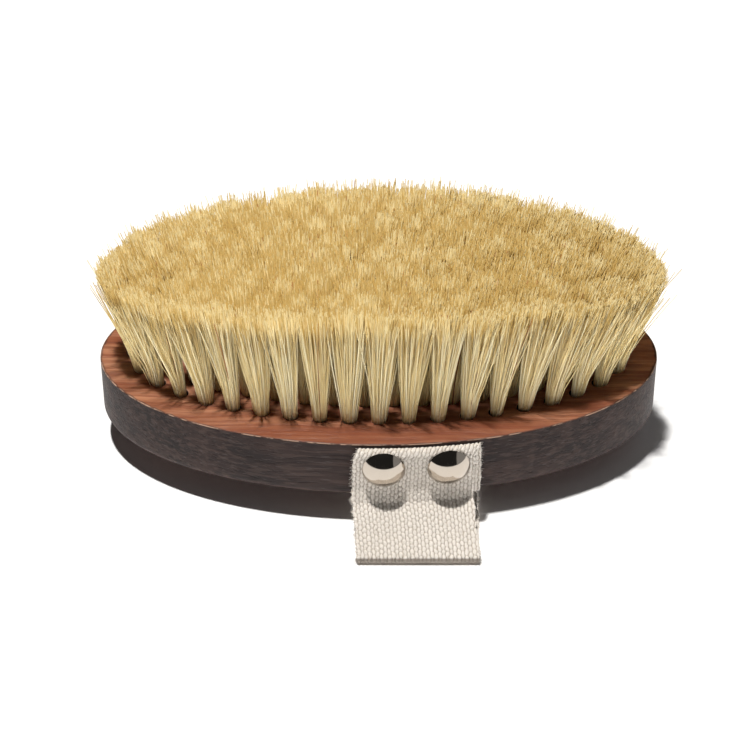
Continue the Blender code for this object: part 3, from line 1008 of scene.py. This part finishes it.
def strap_path(settings, step):
    """The whole path at even steps: (out, height, follow) with out running from front to rear."""
    half = half_strap_path(settings)
    front = half * [-1, 1, 1]
    rear = half[::-1][1:]
    path = np.concatenate([front, rear])
    lengths = np.concatenate([[0.0], np.cumsum(np.linalg.norm(np.diff(path[:, :2], axis=0), axis=1))])
    number = round(lengths[-1] / step)
    wanted = np.linspace(0, lengths[-1], number + 1)
    return np.column_stack([np.interp(wanted, lengths, path[:, i]) for i in range(3)]), lengths[-1]


def yarn_height(column, pick):
    """Height, 0 to 1, of a warp yarn's float at a place in the weave."""
    odd = np.mod(np.floor(column), 2) * 0.5
    across = np.mod(column, 1) - 0.5
    along = np.mod(pick + odd, 1) - 0.5
    return np.sqrt(np.clip(1 - 3.6 * across**2 - 3.2 * along**2, 0, 1))


def strap_surface(settings):
    """Points of the webbing's two faces on a grid, and the flat place of each."""
    step = settings.yarn_along / 3
    path, length = strap_path(settings, step)
    columns = 3 * round(settings.width / settings.yarn_across)
    rng = np.random.default_rng(35)
    across = np.linspace(0, 1, columns + 1)
    along = np.linspace(0, length, len(path))
    tangent = np.gradient(path[:, :2], axis=0)
    tangent /= np.linalg.norm(tangent, axis=1)[:, None]
    normal = np.column_stack([tangent[:, 1], -tangent[:, 0]])
    wander = np.interp(along, np.linspace(0, length, 40), rng.normal(0, 0.00012, 40))
    x = strap_middle() + (across[None, :] - 0.5) * settings.width + wander[:, None]
    from_end = np.minimum(along, length - along)
    stations = [0, settings.hem, 1.2 * settings.hem, 2 * settings.hem, 0.045]
    x = x + np.interp(from_end, stations, HEM_OFFSETS)[:, None]
    for edge in (0, -1):
        x[:, edge] += rng.normal(0, 0.00016, len(x))
    curve = np.array([[wall_y(value) - wall_y(strap_middle()) for value in x[0]]])
    side = np.sign(path[:, 0])[:, None]
    y = path[:, 0][:, None] - side * path[:, 2][:, None] * curve
    z = np.broadcast_to(path[:, 1][:, None], y.shape)
    middle = np.stack([x, y, z], axis=2)
    out = np.zeros_like(middle)
    out[:, :, 1] = normal[:, 0][:, None]
    out[:, :, 2] = normal[:, 1][:, None]
    column = across[None, :] * settings.width / settings.yarn_across
    pick = along[:, None] / settings.yarn_along
    faces = []
    for sign, half_pick in ((1, 0.0), (-1, 0.5)):
        relief = yarn_height(column + 1e-6, pick + half_pick) * settings.yarn_relief
        thick = settings.thickness / 2 - settings.yarn_relief + relief
        faces.append(middle + sign * out * thick[:, :, None])
    u = np.broadcast_to(across[None, :], y.shape)
    v = np.broadcast_to(along[:, None] / length, y.shape)
    return faces, u, v, length


def cotton_fuzz(surface, length, settings):
    """Short loose cotton fibres, most along the selvages: points and triangles of thin spikes."""
    rng = np.random.default_rng(52)
    rows, columns = surface.shape[:2]
    number = settings.loose_fibres
    row = rng.integers(1, rows - 1, number)
    side = np.where(rng.random(number) < 0.5, -1.0, 1.0)
    edge = rng.random(number) < 0.7
    column = np.where(edge, np.where(side < 0, 0, columns - 1), rng.integers(1, columns - 1, number))
    base = surface[row, column]
    along = surface[row + 1, column] - surface[row - 1, column]
    along /= np.linalg.norm(along, axis=1)[:, None]
    normal = np.column_stack([np.zeros(number), along[:, 2], -along[:, 1]])
    hem_rows = settings.hem / length * rows * 1.2
    bare = (row > hem_rows) & (row < rows - hem_rows) & (base[:, 2] > 0.003)
    lift = np.where(bare, np.where(edge, rng.uniform(-0.1, 0.5, number), 0.8), 0.0)
    across = np.where(edge, side, rng.normal(0, 0.5, number))
    aim = np.column_stack([across, np.zeros(number), np.zeros(number)]) + lift[:, None] * normal
    aim += along * rng.normal(0, 0.5, number)[:, None]
    aim /= np.linalg.norm(aim, axis=1)[:, None]
    keep = edge | bare
    base, aim, number = base[keep], aim[keep], int(keep.sum())
    reach = rng.uniform(0.0003, 0.0010, number)[:, None]
    second = np.cross(aim, [0.3, 0.5, 0.8])
    second /= np.linalg.norm(second, axis=1)[:, None]
    third = np.cross(aim, second)
    ring = [
        base - aim * 0.0001 + 0.00005 * (math.cos(turn) * second + math.sin(turn) * third)
        for turn in (0.0, 2.1, 4.2)
    ]
    tip = base + aim * reach
    tip[:, 2] = np.maximum(tip[:, 2], 0.0001)
    points = np.stack(ring + [tip], axis=1).reshape(-1, 3)
    first = np.arange(number)[:, None, None] * 4
    spikes = np.array([[0, 1, 3], [1, 2, 3], [2, 0, 3], [0, 2, 1]])[None] + first
    return points, spikes.reshape(-1, 3)


def strap_object(settings):
    """One closed shell of webbing: two faces, the selvages and the two cut ends, with loose fibres."""
    (upper, lower), u, v, length = strap_surface(settings)
    rows, columns = u.shape
    points = np.concatenate([upper.reshape(-1, 3), lower.reshape(-1, 3)])
    grid = np.arange(rows * columns).reshape(rows, columns)
    back = grid + rows * columns
    top = np.stack([grid[:-1, :-1], grid[:-1, 1:], grid[1:, 1:], grid[1:, :-1]], axis=-1).reshape(-1, 4)
    under = np.stack([back[:-1, :-1], back[1:, :-1], back[1:, 1:], back[:-1, 1:]], axis=-1).reshape(-1, 4)
    left = np.stack([grid[:-1, 0], grid[1:, 0], back[1:, 0], back[:-1, 0]], axis=-1)
    right = np.stack([grid[:-1, -1], back[:-1, -1], back[1:, -1], grid[1:, -1]], axis=-1)
    start = np.stack([grid[0, :-1], back[0, :-1], back[0, 1:], grid[0, 1:]], axis=-1)
    end = np.stack([grid[-1, :-1], grid[-1, 1:], back[-1, 1:], back[-1, :-1]], axis=-1)
    fuzz, spikes = cotton_fuzz(upper, length, settings)
    faces = np.concatenate([top, under, left, right, start, end]).tolist() + (spikes + len(points)).tolist()
    mesh = bpy.data.meshes.new("strap_webbing")
    mesh.from_pydata(np.concatenate([points, fuzz]).tolist(), [], faces)
    mesh.validate()
    obj = new_object("strap_webbing", mesh)
    uv = obj.data.uv_layers.new(name="Webbing")
    loops = np.empty(len(obj.data.loops), np.int32)
    obj.data.loops.foreach_get("vertex_index", loops)
    flat = np.stack([np.tile(u.ravel(), 2), np.tile(v.ravel(), 2)], axis=1)
    flat = np.concatenate([flat, np.full((len(fuzz), 2), 0.5)])
    uv.data.foreach_set("uv", flat[loops].astype(np.float32).ravel())
    deselect()
    edit(obj)
    leave_edit_facing_out()
    obj.data.shade_smooth()
    return obj, length


class BRUSH_OT_strap(bpy.types.Operator):
    """Lay the webbing strap: hemmed, nailed, folded at the floor and run under the block"""

    bl_idname = "brush.strap"
    bl_label = "Webbing Strap"

    def execute(self, context):
        settings = context.scene.brush_strap
        strap, length = strap_object(settings)
        strap.data.materials.append(webbing_material(settings, length))
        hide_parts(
            "strap_end_front", "strap_end_rear", "strap_leg_front", "strap_leg_rear", "strap_palm"
        )
        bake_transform(strap)
        return {"FINISHED"}


# The nails


def shape_nail(settings):
    """A ball cut to a shallow dome, with a turned rim below it and a pointed shank."""
    ball = (settings.head_radius**2 + settings.head_height**2) / (2 * settings.head_height)
    deselect()
    bpy.ops.mesh.primitive_uv_sphere_add(
        segments=64, ring_count=64, radius=ball, location=(0, 0, settings.head_height - ball)
    )
    nail = bpy.context.object
    settle(nail, "nail")
    edit(nail)
    bpy.ops.mesh.select_all(action="SELECT")
    bpy.ops.mesh.bisect(plane_co=(0, 0, 0), plane_no=(0, 0, 1), clear_inner=True, use_fill=True)
    select_parts(nail, "EDGE", lambda edge: all(abs(vert.co.z) < 1e-7 for vert in edge.verts))
    bpy.ops.mesh.bevel(offset=0.00035, segments=4, affect="EDGES")
    select_parts(nail, "FACE", lambda face: face.normal.z < -0.99)
    bpy.ops.mesh.inset(thickness=settings.head_radius - settings.shank_radius - 0.0003)
    bpy.ops.mesh.extrude_region_move(TRANSFORM_OT_translate={"value": (0, 0, -0.0090)})
    bpy.ops.mesh.extrude_region_move(TRANSFORM_OT_translate={"value": (0, 0, -0.0020)})
    bpy.ops.transform.resize(value=(0.1, 0.1, 1.0))
    leave_edit_facing_out()
    return nail


class BRUSH_OT_nails(bpy.types.Operator):
    """Turn one dome-headed nail and set four of them through the strap's ends"""

    bl_idname = "brush.nails"
    bl_label = "Dome Nails"

    def execute(self, context):
        settings = context.scene.brush_nails
        strap = context.scene.brush_strap
        pattern = shape_nail(settings)
        smooth_by_angle(pattern, 40)
        pattern.data.materials.append(nickel_material(settings))
        for end, face in (("front", 1), ("rear", -1)):
            for hand, shift in (("left", -settings.spacing / 2), ("right", settings.spacing / 2)):
                turn = -math.acos((strap_middle() + shift) / HALF_LENGTH)
                out = oval_out(HALF_LENGTH, HALF_WIDTH, turn)
                seat = oval_point(HALF_LENGTH, HALF_WIDTH, turn) + out * (2 * strap.thickness + 0.00005)
                seat.z = FACE_Z - settings.drop
                out.y *= face
                seat.y *= face
                nail = pattern.copy()
                nail.data = pattern.data.copy()
                bpy.context.scene.collection.objects.link(nail)
                facing = out.to_track_quat("Z", "Y").to_matrix().to_4x4()
                nail.matrix_world = Matrix.Translation(seat) @ facing
                settle(nail, f"nail_{end}_{hand}")
                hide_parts(f"strap_nail_{end}_{hand}")
                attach(nail, "brush")
        remove(pattern)
        return {"FINISHED"}


# Floor, light and camera


def add_world():
    """A glowing horizon and a soft light overhead; mirrors see a dark studio with a pale side."""
    world = bpy.data.worlds.new("Studio")
    bpy.context.scene.world = world
    world.use_nodes = True
    tree = world.node_tree
    tree.nodes.clear()
    paths = tree.nodes.new("ShaderNodeLightPath").outputs
    side, _, up = axes(tree, tree.nodes.new("ShaderNodeTexCoord").outputs["Generated"])
    low = remap(tree, up, 0.01, 0.12, HORIZON_GLOW, 0.01)
    high = remap(tree, up, 0.45, 0.95, 0.0, 0.30)
    high = math_node(tree, "MULTIPLY", high, remap(tree, side, -0.1, 0.5, 0.12, 1.0))
    open_side = remap(tree, side, 0.66, 0.70, 0.0, 0.30)
    above = math_node(tree, "MAXIMUM", remap(tree, up, 0.0, 0.03, 1.0, 0.02), open_side)
    fill, mirror, seen = (
        node(tree, "ShaderNodeBackground", {"Color": WHITE, "Strength": strength}).outputs[0]
        for strength in (math_node(tree, "ADD", low, high), above, 1.0)
    )
    glossy = mixed_shader(tree, paths["Is Glossy Ray"], fill, mirror)
    camera = mixed_shader(tree, paths["Is Camera Ray"], glossy, seen)
    output = tree.nodes.new("ShaderNodeOutputWorld")
    tree.links.new(camera, output.inputs["Surface"])


def add_sun(name, direction, energy, degrees, colour):
    light = bpy.data.lights.new(name, "SUN")
    light.energy = energy
    light.angle = math.radians(degrees)
    light.color = colour
    sun = new_object(name, light)
    sun.rotation_euler = Vector(direction).to_track_quat("Z", "Y").to_euler()
    return sun


def add_light():
    """A key light from above, and the light that a sunlit pale floor throws back up."""
    add_sun("Key light", (-0.09, 0.0, 1.0), 4.1, 3.0, (1.0, 0.985, 0.96))
    bounce = add_sun("Floor bounce", (0.0, 0.0, -1.0), 2.7, 165.0, (1.0, 0.975, 0.94))
    bounce.data.cycles.use_multiple_importance_sampling = False
    bounce.visible_glossy = False


def add_floor(settings):
    deselect()
    bpy.ops.mesh.primitive_plane_add(size=6.0, location=(0, 0, 0))
    floor = bpy.context.object
    edit(floor)
    bpy.ops.mesh.subdivide(number_cuts=3)
    leave_edit()
    settle(floor, "floor")
    floor.data.materials.append(floor_material(settings))


def add_camera(settings):
    data = bpy.data.cameras.new("Camera")
    data.lens = settings.lens
    data.sensor_width = 36.0
    data.clip_start = 0.01
    camera = new_object("Camera", data)
    aim = Vector((-0.0009, 0.0, 0.0162))
    back = Vector((0.0, -math.cos(settings.elevation), math.sin(settings.elevation)))
    camera.location = aim + back * settings.distance
    camera.rotation_euler = back.to_track_quat("Z", "Y").to_euler()
    bpy.context.scene.camera = camera


class BRUSH_OT_stage(bpy.types.Operator):
    """Set the pale floor, the studio light and the camera"""

    bl_idname = "brush.stage"
    bl_label = "Stage"

    def execute(self, context):
        settings = context.scene.brush_stage
        add_world()
        add_light()
        add_floor(settings)
        add_camera(settings)
        context.scene.view_settings.view_transform = "Standard"
        return {"FINISHED"}


class BRUSH_PT_panel(bpy.types.Panel):
    """Settings and steps of the dry brush"""

    bl_idname = "BRUSH_PT_panel"
    bl_label = "Dry Brush"
    bl_space_type = "VIEW_3D"
    bl_region_type = "UI"
    bl_category = "Dry Brush"

    def draw(self, context):
        for key, operator in STEPS:
            box = self.layout.box()
            settings = getattr(context.scene, key)
            for name in settings.bl_rna.properties.keys():
                if name not in ("rna_type", "name"):
                    box.prop(settings, name)
            box.operator(operator.bl_idname)


STEPS = (
    ("brush_block", BRUSH_OT_block),
    ("brush_bristles", BRUSH_OT_bristles),
    ("brush_strap", BRUSH_OT_strap),
    ("brush_nails", BRUSH_OT_nails),
    ("brush_stage", BRUSH_OT_stage),
)
GROUPS = {
    "brush_block": BrushBlockSettings,
    "brush_bristles": BrushBristleSettings,
    "brush_strap": BrushStrapSettings,
    "brush_nails": BrushNailSettings,
    "brush_stage": BrushStageSettings,
}
CLASSES = (*GROUPS.values(), *(operator for _, operator in STEPS), BRUSH_PT_panel)


def register():
    for cls in CLASSES:
        bpy.utils.register_class(cls)
    for key, group in GROUPS.items():
        setattr(bpy.types.Scene, key, bpy.props.PointerProperty(type=group))


def unregister():
    for key in GROUPS:
        delattr(bpy.types.Scene, key)
    for cls in reversed(CLASSES):
        bpy.utils.unregister_class(cls)


def main():
    register()
    bpy.ops.brush.block()
    bpy.ops.brush.bristles()
    bpy.ops.brush.strap()
    bpy.ops.brush.nails()
    bpy.ops.brush.stage()


if __name__ == "__main__":
    main()
